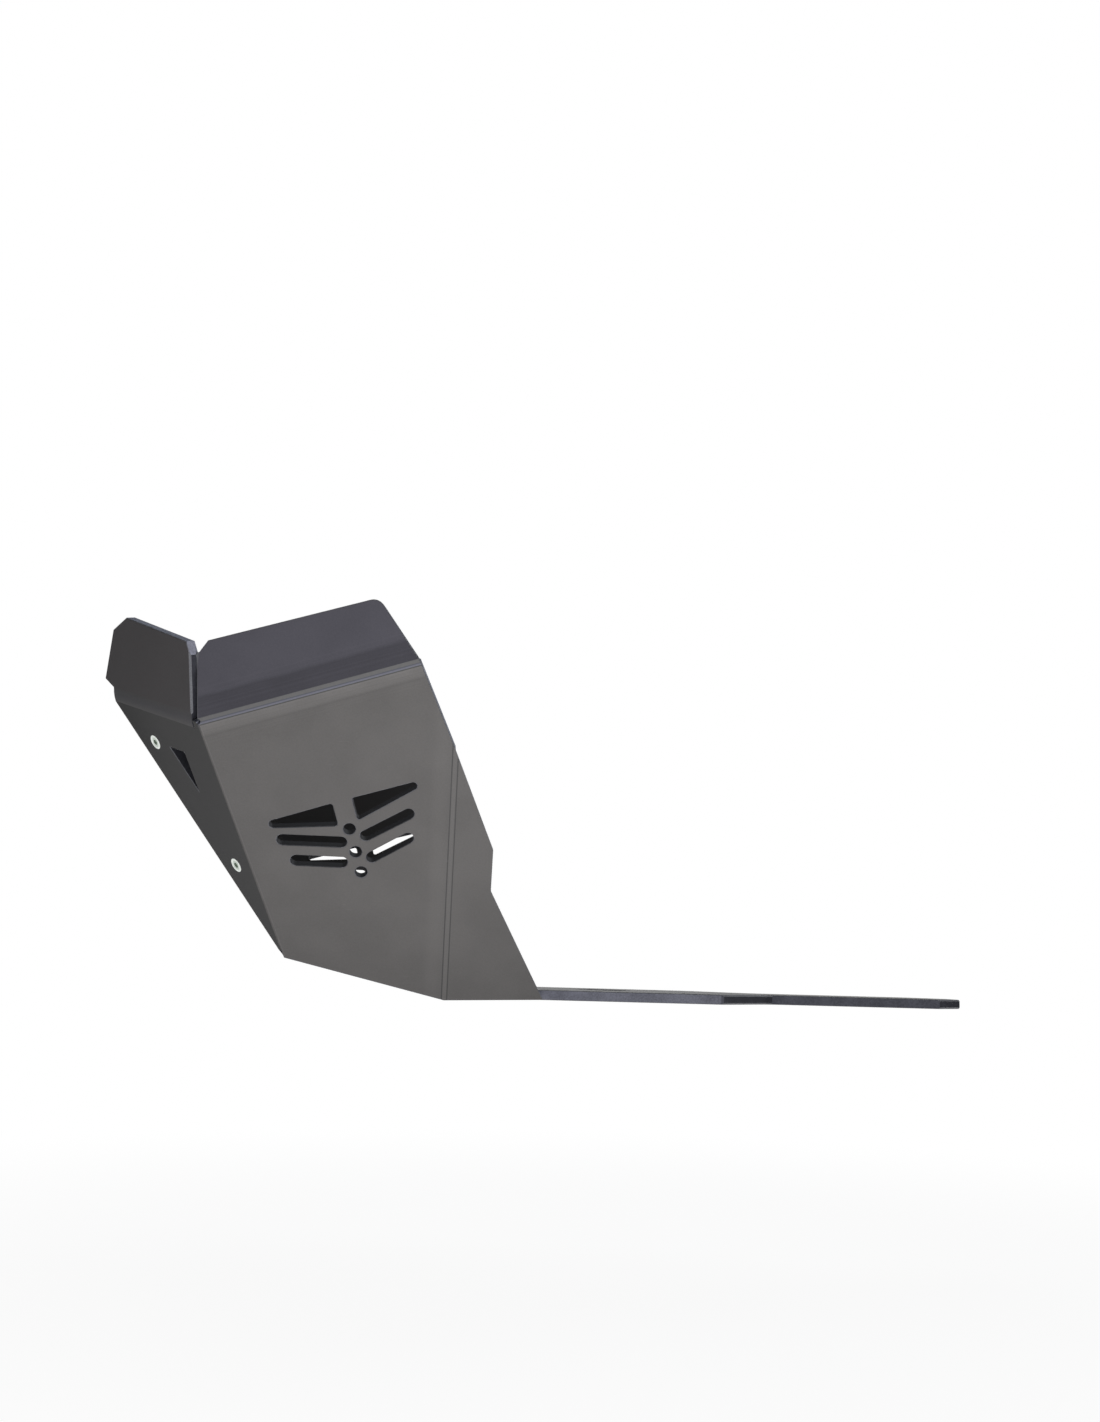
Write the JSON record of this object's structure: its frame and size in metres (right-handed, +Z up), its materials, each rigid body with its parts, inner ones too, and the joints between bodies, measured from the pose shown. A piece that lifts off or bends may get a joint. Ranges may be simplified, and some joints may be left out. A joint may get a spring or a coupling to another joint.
{
  "type": "motorcycle skid plate",
  "caption": "Hot-folded black polymer skid plate that guards a motorcycle's engine, with vented side wings, front tabs, a flat bolted belly and a narrow rear tongue.",
  "frame": {"origin": "centre of the belly bolt pattern, on the upper face of the belly", "axes": "+X towards the rear of the vehicle, +Y towards its right side, +Z up"},
  "size_m": [0.7315, 0.5638, 0.2893],
  "materials": {
    "skid_plate": "satin, with a fine sheet grain and paler heat bands beside the folds",
    "front_screws": "bright zinc plating"
  },
  "bodies": {
    "root": {"skid_plate": "skid_plate", "front_screws": "front_screws"}
  },
  "joints": []
}
